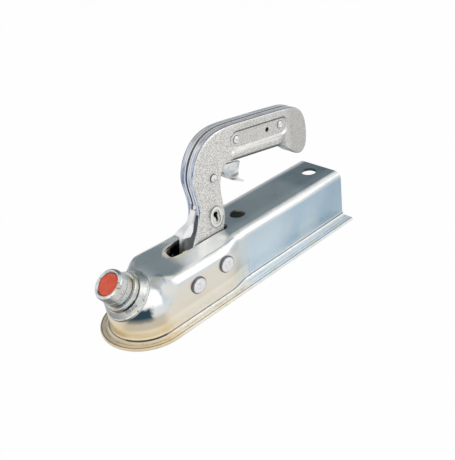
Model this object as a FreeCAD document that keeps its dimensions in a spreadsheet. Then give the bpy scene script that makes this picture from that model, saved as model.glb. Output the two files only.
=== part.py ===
import FreeCAD, Part
import math
import os
import Sketcher

from FreeCAD import Placement, Rotation, Vector

# A trailer coupling head for a 50 mm ball: a pressed housing, a handle of two shells and a safety catch.
# Origin at the centre of the ball, +X back along the drawbar, +Z up, millimetres.

doc = FreeCAD.newDocument("coupling_head")
sheet = doc.addObject("Spreadsheet::Sheet", "Sizes")

cells = [
    ("ball_radius", 25.0),
    ("ball_gap", 0.9),
    ("sheet_wall", 2.5),
    ("rear_half_width", 24.6),
    ("top_height", 30.3),
    ("rim_half_width", 36.4),
    ("rim_bottom", -14.1),
    ("rear_bend", 6.6),
    ("middle_bend", 9.6),
    ("dome_flat", 1.2),
    ("rim_cove", 3.8),
    ("rear_end", 207.6),
    ("bolt_hole_radius", 6.6),
    ("bolt_rear_place", 193.8),
    ("bolt_pitch", 90.0),
    ("slot_half_width", 9.2),
    ("slot_front", 31.0),
    ("slot_rear", 86.5),
    ("handle_pivot_x", 61.5),
    ("handle_pivot_z", 15.5),
    ("jaw_pivot_x", 32.0),
    ("jaw_pivot_z", 12.8),
    ("rivet_radius", 4.0),
    ("rivet_head_radius", 6.9),
    ("rivet_head_height", 2.4),
    ("neck_angle", 53.6),
    ("neck_hole_radius", 14.3),
    ("collar_radius", 20.2),
    ("collar_sunk", 1.8),
    ("band_radius", 15.3),
    ("band_length", 4.4),
    ("cap_radius", 12.6),
    ("cap_length", 13.2),
    ("plug_radius", 8.8),
    ("sleeve_bore", 10.5),
    ("disc_wall", 0.8),
    ("shell_half_width", 8.0),
    ("shell_wall", 1.9),
    ("seam_half_gap", 0.35),
    ("shell_round", 2.0),
    ("seam_ease", 0.5),
    ("panel_half_width", 6.0),
    ("panel_depth", 1.2),
    ("panel_border", 1.7),
    ("lip_half_width", 3.6),
    ("lip_rise", 1.3),
    ("catch_pivot_x", 77.6),
    ("catch_pivot_z", 76.4),
    ("catch_rivet_radius", 2.5),
    ("catch_half_width", 5.0),
    ("catch_neck_half", 2.6),
    ("rim_opening_half", 3.1),
    ("cam_pin_x", 44.0),
    ("cam_pin_z", 2.0),
]
for row, (alias, value) in enumerate(cells, start=1):
    sheet.set("A%d" % row, alias)
    sheet.set("B%d" % row, str(value))
    sheet.setAlias("B%d" % row, alias)
doc.recompute()


def size(alias):
    return float(sheet.get(alias))


# The dome's outer radius follows the ball, and the neck's heights follow the dome.
dome_rule = "ball_radius + ball_gap + sheet_wall"
collar_rule = dome_rule + " - collar_sunk"
band_rule = collar_rule + " + band_length"
cap_rule = band_rule + " + cap_length"


def smooth(value, low, high):
    u = min(max((value - low) / (high - low), 0.0), 1.0)
    return u * u * u * (u * (6.0 * u - 15.0) + 10.0)


def origin_plane(body, role):
    return [item for item in body.Origin.OriginFeatures if item.Role == role][0]


def add_shape(label, shape):
    item = doc.addObject("Part::Feature", label)
    item.Shape = shape
    item.Label = label
    return item


def bound_sketch(body, name, plane, points):
    # A closed outline whose corners are held by expressions in the sheet's sizes.
    sketch = body.newObject("Sketcher::SketchObject", name)
    sketch.AttachmentSupport = [(origin_plane(body, plane), "")]
    sketch.MapMode = "FlatFace"
    values = [(sheet_value(u), sheet_value(v)) for u, v in points]
    count = len(points)
    for k in range(count):
        a = values[k]
        b = values[(k + 1) % count]
        sketch.addGeometry(Part.LineSegment(Vector(a[0], a[1], 0), Vector(b[0], b[1], 0)), False)
    for k in range(count):
        sketch.addConstraint(Sketcher.Constraint("Coincident", k, 2, (k + 1) % count, 1))
    for k, (u, v) in enumerate(points):
        if abs(values[k][0]) < 1e-9:
            sketch.addConstraint(Sketcher.Constraint("PointOnObject", k, 1, -2))
        else:
            at = sketch.addConstraint(Sketcher.Constraint("DistanceX", -1, 1, k, 1, values[k][0]))
            sketch.setExpression("Constraints[%d]" % at, bound(u))
        if abs(values[k][1]) < 1e-9:
            sketch.addConstraint(Sketcher.Constraint("PointOnObject", k, 1, -1))
        else:
            at = sketch.addConstraint(Sketcher.Constraint("DistanceY", -1, 1, k, 1, values[k][1]))
            sketch.setExpression("Constraints[%d]" % at, bound(v))
    return sketch


def bound(rule):
    # The rule with each alias written as a cell of the sheet.
    text = str(rule)
    for alias in sorted((name for name, _ in cells), key=len, reverse=True):
        text = text.replace(alias, "@%d@" % [name for name, _ in cells].index(alias))
    for index, (alias, _) in enumerate(cells):
        text = text.replace("@%d@" % index, "Sizes." + alias)
    return text


def sheet_value(rule):
    # A rule is a number, or aliases and numbers joined by + and -.
    total = 0.0
    sign = 1.0
    for word in str(rule).replace("+", " + ").replace("- ", " - ").split():
        if word == "+":
            sign = 1.0
        elif word == "-":
            sign = -1.0
        else:
            flip = 1.0
            name = word
            if name[0] == "-" and name[1:2].isalpha():
                flip = -1.0
                name = name[1:]
            number = size(name) if name[0].isalpha() else float(name)
            total += sign * flip * number
            sign = 1.0
    return total


def turned(label, points, place):
    # A piece turned about its own Z: outline points are (radius, height).
    body = doc.addObject("PartDesign::Body", label)
    sketch = bound_sketch(body, label + "_outline", "XZ_Plane", points)
    spin = body.newObject("PartDesign::Revolution", label + "_turned")
    spin.Profile = sketch
    spin.ReferenceAxis = (sketch, ["V_Axis"])
    spin.Angle = 360.0
    sketch.Visibility = False
    body.Label = label
    body.Placement = place
    return body


across = Rotation(Vector(1, 0, 0), 90.0)
neck_turn = Rotation(Vector(0, 1, 0), -(90.0 - size("neck_angle")))
neck_place = Placement(Vector(0, 0, 0), neck_turn)
neck_axis = neck_turn.multVec(Vector(0, 0, 1))


def across_at(x, z):
    # A turned piece's axis laid along -Y through a point of the middle plane.
    return Placement(Vector(x, 0, z), across)


handle_pivot = across_at(size("handle_pivot_x"), size("handle_pivot_z"))
jaw_pivot = across_at(size("jaw_pivot_x"), size("jaw_pivot_z"))
catch_pivot = across_at(size("catch_pivot_x"), size("catch_pivot_z"))
cam_place = across_at(size("cam_pin_x"), size("cam_pin_z"))


# Housing: one pressing, an upturned channel that widens and closes in a dome over the ball.

def body_half_width(x):
    rear = size("rear_half_width")
    return rear + (sheet_value(dome_rule) - rear) * (1.0 - smooth(x, 60.0, 88.0))


def body_top(x):
    low = sheet_value(dome_rule)
    high = size("top_height")
    return low + (high - low) * smooth(x, 0.0, 46.0)


def body_bend(x):
    big = sheet_value(dome_rule) - size("dome_flat")
    mid = size("middle_bend")
    small = size("rear_bend")
    return small + (mid - small) * (1.0 - smooth(x, 60.0, 88.0)) + (big - mid) * (1.0 - smooth(x, -2.5, 18.0))


def body_slope(x):
    # The top beside the slot falls away to both sides, in degrees.
    return 15.0 * smooth(x, 8.0, 50.0) * (1.0 - smooth(x, 58.0, 88.0))


def body_crown(x):
    # The slot's edges stand a little above the rear top.
    return 0.9 * smooth(x, 8.0, 50.0) * (1.0 - smooth(x, 58.0, 88.0))


def section_points(x, inset):
    half = body_half_width(x) - inset
    bend = body_bend(x) - inset
    top = body_top(x) + body_crown(x) - inset
    slope = math.radians(body_slope(x))
    flat = 0.5 + 7.5 * smooth(x, 0.0, 50.0)
    run = half - bend + bend * math.sin(slope) - flat
    centre_z = top - bend * math.cos(slope) - math.tan(slope) * run
    start = (half, centre_z)
    turn = (math.pi / 2.0 - slope) / 2.0
    middle = (half - bend + bend * math.cos(turn), centre_z + bend * math.sin(turn))
    end = (half - bend + bend * math.sin(slope), centre_z + bend * math.cos(slope))
    return half, top, flat, start, middle, end


def section_wire(x, inset, floor):
    half, top, flat, start, middle, end = section_points(x, inset)

    def at(y, z):
        return Vector(x, y, z)

    edges = [
        Part.LineSegment(at(-half, floor), at(-start[0], start[1])).toShape(),
        Part.Arc(at(-start[0], start[1]), at(-middle[0], middle[1]), at(-end[0], end[1])).toShape(),
        Part.LineSegment(at(-end[0], end[1]), at(-flat, top)).toShape(),
        Part.LineSegment(at(-flat, top), at(flat, top)).toShape(),
        Part.LineSegment(at(flat, top), at(end[0], end[1])).toShape(),
        Part.Arc(at(end[0], end[1]), at(middle[0], middle[1]), at(start[0], start[1])).toShape(),
        Part.LineSegment(at(start[0], start[1]), at(half, floor)).toShape(),
        Part.LineSegment(at(half, floor), at(-half, floor)).toShape(),
    ]
    return Part.Wire(edges)


def dome(inset, floor):
    half, top, flat, start, middle, end = section_points(0.0, inset)

    def at(y, z):
        return Vector(0, y, z)

    edges = [
        Part.LineSegment(at(0, floor), at(half, floor)).toShape(),
        Part.LineSegment(at(half, floor), at(start[0], start[1])).toShape(),
        Part.Arc(at(start[0], start[1]), at(middle[0], middle[1]), at(end[0], end[1])).toShape(),
        Part.LineSegment(at(end[0], end[1]), at(0, top)).toShape(),
        Part.LineSegment(at(0, top), at(0, floor)).toShape(),
    ]
    face = Part.Face(Part.Wire(edges))
    return face.revolve(Vector(0, 0, 0), Vector(0, 0, 1), 180.0)


def body_solid(inset, floor, tail):
    stations = [0.0, 3.0, 6.0, 9.0, 12.0, 15.0, 18.0, 21.0, 27.0, 34.0, 42.0, 50.0, 58.0, 66.0, 74.0, 81.0, 88.0]
    loft = Part.makeLoft([section_wire(x, inset, floor) for x in stations], True, False)
    rear_face = Part.Face(section_wire(stations[-1], inset, floor))
    rear = rear_face.extrude(Vector(size("rear_end") + tail - stations[-1], 0, 0))
    return dome(inset, floor).fuse([loft, rear])


def rim_plate(half, low, high, tail):
    front = Part.makeCylinder(half, high - low, Vector(0, 0, low))
    back = Part.makeBox(size("rear_end") + tail, 2.0 * half, high - low, Vector(0, -half, low))
    return front.fuse(back).removeSplitter()


def slot_cutter():
    half = size("slot_half_width")
    front = size("slot_front")
    rear = size("slot_rear")
    nose = 5.4
    corner = 3.0
    points = [
        Vector(front, -nose, 20), Vector(front + 13.0, -half, 20), Vector(rear - corner, -half, 20),
        Vector(rear, -half + corner, 20), Vector(rear, half - corner, 20), Vector(rear - corner, half, 20),
        Vector(front + 13.0, half, 20), Vector(front, nose, 20), Vector(front, -nose, 20),
    ]
    prism = Part.Face(Part.makePolygon(points)).extrude(Vector(0, 0, 20))
    corners = [edge for edge in prism.Edges if abs(edge.Length - 20.0) < 1e-6 and edge.Vertexes[0].X < front + 1.0]
    return prism.makeFillet(2.2, corners)


def ramp_cutter(inset):
    # The top is drawn down in a round-bottomed ramp in front of the slot.
    tilt = math.radians(16.0)
    radius = 9.5
    along = Vector(math.cos(tilt), 0, -math.sin(tilt))
    upward = Vector(math.sin(tilt), 0, math.cos(tilt))
    low_point = Vector(21.5, 0, size("top_height") + 0.2)
    start = low_point.add(Vector(upward).multiply(radius)).sub(Vector(along).multiply(12.0))
    return Part.makeCylinder(radius + inset, 12.0 + 15.5, start, along)


def housing_shape():
    wall = size("sheet_wall")
    low = size("rim_bottom")
    high = low + wall
    outer = body_solid(0.0, low, 0.0).cut(ramp_cutter(0.0))
    inner = body_solid(wall, low - 5.0, 5.0).cut(ramp_cutter(wall))
    plate = rim_plate(size("rim_half_width"), low, high, 0.0)
    whole = outer.fuse(plate)
    cove = []
    for edge in whole.Edges:
        box = edge.BoundBox
        level = abs(box.ZMin - high) < 1e-4 and abs(box.ZMax - high) < 1e-4
        near_wall = max(abs(box.YMin), abs(box.YMax)) < sheet_value(dome_rule) + 0.2
        if level and near_wall and box.XMax - box.XMin > 0.5:
            cove.append(edge)
    whole = whole.makeFillet(size("rim_cove"), cove)
    rim_edges = []
    for edge in whole.Edges:
        box = edge.BoundBox
        level = abs(box.ZMin - box.ZMax) < 1e-4 and box.ZMin < high + 0.1
        at_rim = max(abs(box.YMin), abs(box.YMax)) > size("rim_half_width") - 0.1
        if level and at_rim and box.XMax - box.XMin > 1.0:
            rim_edges.append(edge)
    whole = whole.makeFillet(0.7, rim_edges)
    whole = whole.cut(inner)
    whole = whole.cut(slot_cutter())
    for index in (0, 1):
        place = Vector(size("bolt_rear_place") - index * size("bolt_pitch"), 0, 0)
        whole = whole.cut(Part.makeCylinder(size("bolt_hole_radius"), 60.0, place))
    whole = whole.cut(Part.makeCylinder(size("neck_hole_radius"), 60.0, Vector(0, 0, 0), neck_axis))
    for x, z in ((size("handle_pivot_x"), size("handle_pivot_z")), (size("jaw_pivot_x"), size("jaw_pivot_z"))):
        hole = Part.makeCylinder(size("rivet_radius") + 0.05, 100.0, Vector(x, -50, z), Vector(0, 1, 0))
        whole = whole.cut(hole)
    return whole


housing = add_shape("housing", housing_shape())


# Neck: a welded collar, the screwed adjuster, its cap, disc springs, pressure pad and red plug.

def collar_shape():
    top = sheet_value(collar_rule)
    radius = size("collar_radius")
    bore = size("neck_hole_radius")
    edge = top - 4.6
    low = top - 18.6
    points = [Vector(bore, 0, low), Vector(radius, 0, low), Vector(radius, 0, edge),
              Vector(radius - 0.3, 0, edge + 0.6), Vector(radius - 1.0, 0, edge + 1.0),
              Vector(bore + 1.6, 0, top), Vector(bore, 0, top), Vector(bore, 0, low)]
    ring = Part.Face(Part.makePolygon(points)).revolve(Vector(0, 0, 0), Vector(0, 0, 1), 360.0)
    ring.Placement = neck_place
    ring = ring.cut(body_solid(0.0, -20.0, 0.0))
    solids = sorted(ring.Solids, key=lambda item: item.Volume)
    return solids[-1]


neck_collar = add_shape("neck_collar", collar_shape())

adjuster_sleeve = turned("adjuster_sleeve", [
    ("sleeve_bore", dome_rule + " - 5.1"), ("neck_hole_radius - 0.3", dome_rule + " - 5.1"),
    ("neck_hole_radius - 0.3", collar_rule + " + 0.3"), ("band_radius - 0.6", collar_rule + " + 0.3"),
    ("band_radius", collar_rule + " + 0.9"), ("band_radius", band_rule + " - 0.7"),
    ("band_radius - 0.7", band_rule), ("sleeve_bore", band_rule),
], neck_place)

adjuster_cap = turned("adjuster_cap", [
    ("plug_radius + 0.2", cap_rule + " - 4.5"), ("plug_radius - 2.3", cap_rule + " - 4.5"),
    ("plug_radius - 2.3", band_rule + " + 0.1"), ("cap_radius - 0.4", band_rule + " + 0.1"),
    ("cap_radius", band_rule + " + 0.8"), ("cap_radius", cap_rule + " - 8.0"),
    ("cap_radius - 0.6", cap_rule + " - 7.6"), ("cap_radius", cap_rule + " - 7.2"),
    ("cap_radius - 0.3", cap_rule + " - 1.6"), ("cap_radius - 0.9", cap_rule + " - 0.5"),
    ("cap_radius - 1.8", cap_rule), ("plug_radius + 0.9", cap_rule), ("plug_radius + 0.2", cap_rule + " - 0.7"),
], neck_place)

red_plug = turned("red_plug", [
    ("0", cap_rule + " - 4.4"), ("plug_radius", cap_rule + " - 4.4"), ("plug_radius", cap_rule + " - 1.1"),
    ("plug_radius - 0.5", cap_rule + " - 0.7"), ("0", cap_rule + " - 0.5"),
], neck_place)


def pad_shape():
    # A puck under the disc springs, hollowed to the ball.
    ball = size("ball_radius") + 0.3
    height = 8.6
    low = sheet_value(dome_rule) - 0.8 - height
    puck = Part.makeCylinder(size("sleeve_bore") - 0.3, height, Vector(0, 0, low))
    puck = puck.cut(Part.makeSphere(ball))
    solids = sorted(puck.Solids, key=lambda item: item.CenterOfMass.z)
    pad = solids[-1]
    pad.Placement = neck_place
    return pad


pressure_pad = add_shape("pressure_pad", pad_shape())


def spring_disc(level, up):
    rise = 0.5 if up else -0.5
    wall = size("disc_wall")
    outer = size("sleeve_bore") - 0.7
    points = [Vector(3.2, 0, level + rise), Vector(outer, 0, level), Vector(outer, 0, level + wall),
              Vector(3.2, 0, level + wall + rise), Vector(3.2, 0, level + rise)]
    disc = Part.Face(Part.makePolygon(points)).revolve(Vector(0, 0, 0), Vector(0, 0, 1), 360.0)
    disc.Placement = neck_place
    return disc


disc_low = sheet_value(dome_rule) - 0.1
disc_high = disc_low + 2.0 * size("disc_wall") + 0.25
disc_springs = add_shape("disc_springs", Part.makeCompound([spring_disc(disc_low, True), spring_disc(disc_high, False)]))


# Handle: two mirrored shells with turned-in rims, joined along a seam in the middle plane.

handle_corners = [
    (50.6, 30.5), (53.0, 34.6), (56.6, 41.6), (59.3, 48.9), (60.4, 55.0), (60.2, 61.6), (59.0, 70.0), (58.0, 77.6),
    (58.9, 84.8), (61.8, 92.2), (66.0, 98.6), (71.4, 104.0), (78.6, 108.2), (87.0, 110.4), (98.0, 110.6),
    (112.0, 109.0), (133.0, 106.2), (152.0, 103.6), (164.0, 101.7), (172.0, 99.9), (178.4, 96.4), (183.0, 90.6),
    (185.4, 83.4), (186.0, 74.5), (185.0, 65.6), (182.6, 60.4), (178.4, 57.6), (173.4, 58.2), (166.5, 62.6),
    (159.5, 68.4), (152.4, 72.9), (143.0, 75.5), (132.0, 77.4), (118.0, 79.4), (107.0, 80.8), (98.0, 82.0),
    (92.6, 81.6), (88.6, 78.2), (86.4, 73.8), (84.7, 68.0), (84.2, 61.7), (84.7, 53.0), (85.2, 45.4), (84.9, 40.0),
    (83.7, 35.2), (82.0, 30.0), (78.6, 23.4), (73.9, 16.4), (70.6, 9.8), (65.2, 5.0), (58.0, 1.4), (50.9, -2.4),
    (44.4, -4.3), (39.8, -2.9), (37.6, 1.0), (38.7, 5.4), (42.4, 11.6), (46.2, 19.0), (48.6, 25.6),
]


def curve_samples():
    curve = Part.BSplineCurve()
    curve.interpolate([Vector(x, 0, z) for x, z in handle_corners], PeriodicFlag=True)
    count = 150
    first = curve.FirstParameter
    last = curve.LastParameter
    samples = []
    for k in range(count):
        u = first + (last - first) * k / count
        samples.append((curve.value(u), curve.tangent(u)[0]))
    return samples


def inset_curve(distance, level):
    # The handle's outline drawn inwards by a distance, on the plane y = level.
    points = []
    for point, tangent in curve_samples():
        inward = Vector(tangent.z, 0, -tangent.x)
        points.append(Vector(point.x, level, point.z).add(inward.multiply(distance)))
    curve = Part.BSplineCurve()
    curve.interpolate(points[::2], PeriodicFlag=True)
    return Part.Wire([curve.toShape()])


def outline_slab(distance, low, high):
    face = Part.Face(inset_curve(distance, low))
    return face.extrude(Vector(0, high - low, 0))


def rounded_slab():
    # The shell's block, rounded at the face by small steps in the outline.
    outer = size("shell_half_width")
    seam = size("seam_half_gap")
    bend = size("shell_round")
    wires = [inset_curve(0.0, -seam), inset_curve(0.0, -(outer - bend))]
    steps = 3
    for k in range(1, steps + 1):
        turn = math.radians(90.0 * k / steps)
        wires.append(inset_curve(bend * (1.0 - math.cos(turn)), -(outer - bend) - bend * math.sin(turn)))
    return Part.makeLoft(wires, True, True)


def slot_wire(x0, z0, x1, z1, radius, y):
    # A round-ended slot between two points of the handle's plane, drawn at y.
    run = Vector(x1 - x0, 0, z1 - z0)
    side = Vector(-run.z, 0, run.x).normalize().multiply(radius)
    a = Vector(x0, y, z0)
    b = Vector(x1, y, z1)
    back = Vector(run).normalize().multiply(radius)
    return Part.Wire([
        Part.LineSegment(a.add(side), b.add(side)).toShape(),
        Part.Arc(b.add(side), b.add(back), b.sub(side)).toShape(),
        Part.LineSegment(b.sub(side), a.sub(side)).toShape(),
        Part.Arc(a.sub(side), a.sub(back), a.add(side)).toShape(),
    ])


def slot_box(x0, z0, x1, z1, radius, y0, y1):
    return Part.Face(slot_wire(x0, z0, x1, z1, radius, y0)).extrude(Vector(0, y1 - y0, 0))


def hole_along(x, z, radius, y0=-20.0, y1=20.0):
    return Part.makeCylinder(radius, y1 - y0, Vector(x, y0, z), Vector(0, 1, 0))


panel = (106.4, 96.4, 156.6, 89.6)
clinch_places = [(106.6, 96.6), (155.4, 91.0)]
boss_low = (75.2, 41.4)
boss_high = (74.3, 47.4)


def shell_shape(with_boss):
    outer = size("shell_half_width")
    wall = size("shell_wall")
    seam = size("seam_half_gap")
    blank = rounded_slab()
    hollow = outline_slab(wall, -(outer - wall), 0.0)
    shell = blank.cut(hollow)
    # the edges at the seam are eased
    ease = size("seam_ease")
    groove = outline_slab(-1.0, -(seam + ease), 0.0).cut(outline_slab(ease, -(seam + ease), 0.0))
    shell = shell.cut(groove)
    # the panel in the grip is pressed in, with a sloping border
    wide = size("panel_half_width")
    depth = size("panel_depth")
    border = size("panel_border")
    panel_tool = Part.makeLoft([
        slot_wire(*panel, wide + 2.0 * border, -(outer + depth)), slot_wire(*panel, wide, -(outer - depth)),
    ], True, True)
    panel_back = slot_box(*panel, wide + wall * 0.5, -(outer - wall), -(outer - wall - depth))
    shell = shell.fuse(panel_back).cut(panel_tool)
    # the rolled lip along the underside of the grip stands out from the face
    half = size("lip_half_width")
    rise = size("lip_rise")
    lip_radius = (half * half + rise * rise) / (2.0 * rise)
    lip_level = -(outer + rise - lip_radius)
    lip_start = Vector(100.6, lip_level, 86.0)
    lip_end = Vector(153.0, lip_level, 78.0)
    run = lip_end.sub(lip_start)
    lip = Part.makeCylinder(lip_radius, run.Length, lip_start, run)
    lip = lip.fuse([Part.makeSphere(lip_radius, lip_start), Part.makeSphere(lip_radius, lip_end)])
    lip = lip.common(Part.makeBox(200, 40, 200, Vector(0, -(outer - wall * 0.5) - 40.0, 0)))
    shell = shell.fuse(lip)
    if with_boss:
        # an oval boss with a slot for the lock insert, on the near shell alone
        boss = slot_box(boss_low[0], boss_low[1], boss_high[0], boss_high[1], 6.3, -(outer + 0.9), -(outer - 0.2))
        shell = shell.fuse(boss)
        shell = shell.cut(slot_box(boss_low[0], boss_low[1], boss_high[0], boss_high[1], 3.4, -(outer + 2.0), 0.0))
    # openings in the rims for the catch's nose and for its finger piece
    gap = size("catch_half_width") + 0.5
    front_gap = size("rim_opening_half")
    shell = shell.cut(Part.makeBox(30.0, gap, 34.5, Vector(36.0, -gap, 17.0)))
    shell = shell.cut(Part.makeBox(30.0, front_gap, 8.5, Vector(36.0, -front_gap, 50.5)))
    shell = shell.cut(Part.makeBox(60.0, outer - wall, 38.0, Vector(32.0, -(outer - wall), -11.0)))
    shell = shell.cut(Part.makeBox(15.0, gap, 21.0, Vector(80.0, -gap, 59.0)))
    shell = shell.cut(Part.makeBox(34.0, 2.2, 16.0, Vector(86.0, -2.2, 69.0)))
    # holes for the pins
    for x, z, radius in (
        (size("handle_pivot_x"), size("handle_pivot_z"), 5.6),
        (size("cam_pin_x"), size("cam_pin_z"), 3.0),
        (size("catch_pivot_x"), size("catch_pivot_z"), size("catch_rivet_radius")),
        (clinch_places[0][0], clinch_places[0][1], 1.6),
        (clinch_places[1][0], clinch_places[1][1], 1.6),
        (140.3, 92.1, 1.9),
    ):
        shell = shell.cut(hole_along(x, z, radius))
    solids = sorted(shell.Solids, key=lambda item: item.Volume)
    return solids[-1]


handle_shell_near = add_shape("handle_shell_near", shell_shape(True))
handle_shell_far = add_shape("handle_shell_far", shell_shape(False).mirror(Vector(0, 0, 0), Vector(0, 1, 0)))


def both_sides(shape):
    return Part.makeCompound([shape, shape.mirror(Vector(0, 0, 0), Vector(0, 1, 0))])


def rivet_points(half, shank):
    # A rivet with two formed heads; half is the sum of words that gives the wall's outer face.
    radius = "rivet_head_radius"
    height = "rivet_head_height"
    low = "-" + half.replace("+", "-")
    return [
        ("0", "%s - %s" % (low, height)), (radius + " - 2.2", "%s - %s" % (low, height)),
        (radius + " - 0.6", "%s - %s + 0.8" % (low, height)), (radius, "%s - 0.9" % low), (radius, low),
        (shank, low), (shank, half), (radius, half), (radius, "%s + 0.9" % half),
        (radius + " - 0.6", "%s + %s - 0.8" % (half, height)), (radius + " - 2.2", "%s + %s" % (half, height)),
        ("0", "%s + %s" % (half, height)),
    ]


handle_pivot_rivet = turned("handle_pivot_rivet", rivet_points(dome_rule + " + 0.06", "rivet_radius"), handle_pivot)
jaw_pivot_rivet = turned("jaw_pivot_rivet", rivet_points(dome_rule + " + 0.06", "rivet_radius"), jaw_pivot)

handle_pivot_bush = turned("handle_pivot_bush", [
    ("rivet_radius + 0.05", "-shell_half_width - 0.4"), ("5.6", "-shell_half_width - 0.4"),
    ("5.6", "shell_half_width + 0.4"), ("rivet_radius + 0.05", "shell_half_width + 0.4"),
], handle_pivot)


def spacer_pair(x, z, outer, low):
    high = body_half_width(x + outer + 1.0) - size("sheet_wall") - 0.35
    inner = size("rivet_radius") + 0.05
    tube = hole_along(x, z, outer, low, high).cut(hole_along(x, z, inner, low - 1.0, high + 1.0))
    return both_sides(tube)


handle_spacers = add_shape("handle_spacers", spacer_pair(
    size("handle_pivot_x"), size("handle_pivot_z"), 5.8, size("shell_half_width") + 0.7))
jaw_spacers = add_shape("jaw_spacers", spacer_pair(size("jaw_pivot_x"), size("jaw_pivot_z"), 5.6, 10.75))

cam_pin = turned("cam_pin", [
    ("0", "-shell_half_width - 1.0"), ("4.0", "-shell_half_width - 1.0"), ("4.0", "-shell_half_width"),
    ("3.0", "-shell_half_width"), ("3.0", "shell_half_width"), ("4.0", "shell_half_width"),
    ("4.0", "shell_half_width + 1.0"), ("0", "shell_half_width + 1.0"),
], cam_place)
cam_sleeve = turned("cam_sleeve", [("3.0", "-6.0"), ("5.4", "-6.0"), ("5.4", "6.0"), ("3.0", "6.0")], cam_place)

catch_rivet = turned("catch_rivet", [
    ("0", "-shell_half_width - 1.3"), ("2.3", "-shell_half_width - 1.3"), ("3.3", "-shell_half_width - 0.7"),
    ("3.5", "-shell_half_width"), ("catch_rivet_radius", "-shell_half_width"),
    ("catch_rivet_radius", "shell_half_width"), ("3.5", "shell_half_width"), ("3.3", "shell_half_width + 0.7"),
    ("2.3", "shell_half_width + 1.3"), ("0", "shell_half_width + 1.3"),
], catch_pivot)


def clinch_rivet(x, z):
    half = size("shell_half_width") - 1.1
    shank = hole_along(x, z, 1.6, -half, half)
    head = Part.makeCone(3.4, 2.2, 0.9, Vector(x, -half, z), Vector(0, -1, 0))
    return shank.fuse([head, head.mirror(Vector(0, 0, 0), Vector(0, 1, 0))])


grip_rivets = add_shape("grip_rivets", Part.makeCompound([clinch_rivet(x, z) for x, z in clinch_places]))


def lock_insert_shape():
    outer = size("shell_half_width")
    block = slot_box(boss_low[0], boss_low[1], boss_high[0], boss_high[1], 3.4, -(outer + 0.4), -2.6)
    flange = slot_box(boss_low[0], boss_low[1], boss_high[0], boss_high[1], 4.6, -(outer - 1.95), -2.6)
    block = block.fuse(flange)
    key = slot_box(boss_low[0], boss_low[1], boss_high[0], boss_high[1], 1.2, -(outer + 2.0), -3.6)
    turned_slot = hole_along(boss_high[0], boss_high[1] - 0.6, 2.3, -(outer + 2.0), -3.6)
    return block.cut(key.fuse(turned_slot))


lock_insert = add_shape("lock_insert", lock_insert_shape())


# Jaw: the claw that closes behind and under the ball, with a friction lining.

def xz_solid(points, low, high):
    face = Part.Face(Part.makePolygon([Vector(x, low, z) for x, z in points + points[:1]]))
    return face.extrude(Vector(0, high - low, 0))


def jaw_shape():
    x = size("jaw_pivot_x")
    z = size("jaw_pivot_z")
    ball = size("ball_radius")
    block = xz_solid([(x - 6.0, z), (20.0, 4.0), (20.0, -13.2), (27.0, -13.2), (34.0, -9.0), (37.1, -3.5),
                      (37.1, 6.4), (x + 6.0, z)], -10.4, 10.4)
    edges = [edge for edge in block.Edges if edge.BoundBox.YLength > 20.0 and edge.BoundBox.XMin > 26.0]
    block = block.makeFillet(1.6, [edge for edge in edges if edge.BoundBox.ZMax < 7.0])
    hub = hole_along(x, z, 6.0, -10.4, 10.4)
    heel = xz_solid([(34.0, -2.6), (38.3, -2.6), (38.3, 5.6), (34.0, 5.6)], -5.5, 5.5)
    block = block.fuse([hub, heel])
    block = block.cut(Part.makeSphere(ball + 3.4))
    block = block.cut(hole_along(x, z, size("rivet_radius") + 0.05))
    solids = sorted(block.Solids, key=lambda item: item.Volume)
    return solids[-1]


closing_jaw = add_shape("closing_jaw", jaw_shape())


def lining_shape():
    ball = size("ball_radius")
    shell = Part.makeSphere(ball + 3.4).cut(Part.makeSphere(ball + 0.3))
    window = Part.makeBox(22.0, 18.0, 17.0, Vector(12.0, -9.0, -11.6))
    return shell.common(window)


jaw_lining = add_shape("jaw_lining", lining_shape())


# Safety catch: a plate lever on the small rivet, with a nose cap in front and a finger plate behind.

def catch_lever_shape():
    points = [
        (72.2, 79.0), (75.0, 81.4), (79.0, 82.0), (84.0, 80.4), (91.0, 78.9), (99.0, 77.6), (106.0, 76.4),
        (112.4, 74.8), (110.9, 71.6), (109.5, 67.0), (108.9, 61.8), (103.5, 64.6), (97.5, 68.2), (93.2, 71.6),
        (88.0, 71.0), (83.6, 68.6), (78.4, 62.0), (73.0, 54.0), (67.4, 46.0), (62.6, 41.4), (56.4, 40.6),
        (49.4, 39.6), (46.6, 36.8), (43.9, 23.6), (41.0, 23.6), (43.5, 36.6), (44.6, 40.4), (51.4, 43.6),
        (56.6, 46.4), (60.2, 53.0), (64.6, 63.0), (68.6, 72.4),
    ]
    lever = xz_solid(points, -1.5, 1.5)
    collar = hole_along(size("catch_pivot_x"), size("catch_pivot_z"), 4.0, -5.6, 1.5)
    lever = lever.fuse(collar)
    return lever.cut(hole_along(size("catch_pivot_x"), size("catch_pivot_z"), size("catch_rivet_radius") + 0.05))


catch_lever = add_shape("catch_lever", catch_lever_shape())


def curved_solid(lines, half):
    # A solid across the middle plane between smooth lines, each through its own points.
    edges = []
    for line in lines:
        if len(line) == 2:
            edges.append(Part.LineSegment(Vector(line[0][0], -half, line[0][1]),
                                          Vector(line[1][0], -half, line[1][1])).toShape())
        else:
            curve = Part.BSplineCurve()
            curve.interpolate([Vector(x, -half, z) for x, z in line])
            edges.append(curve.toShape())
    return Part.Face(Part.Wire(edges)).extrude(Vector(0, 2.0 * half, 0))


def nose_taper(half, neck):
    # The nose seen from in front: wide at its foot, and narrow where it goes in between the rims.
    points = [(half, 30.0), (half, 40.4), (neck, 45.6), (neck, 60.0)]
    outline = [Vector(30, -y, z) for y, z in points] + [Vector(30, y, z) for y, z in reversed(points)]
    return Part.Face(Part.makePolygon(outline + outline[:1])).extrude(Vector(60, 0, 0))


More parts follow.
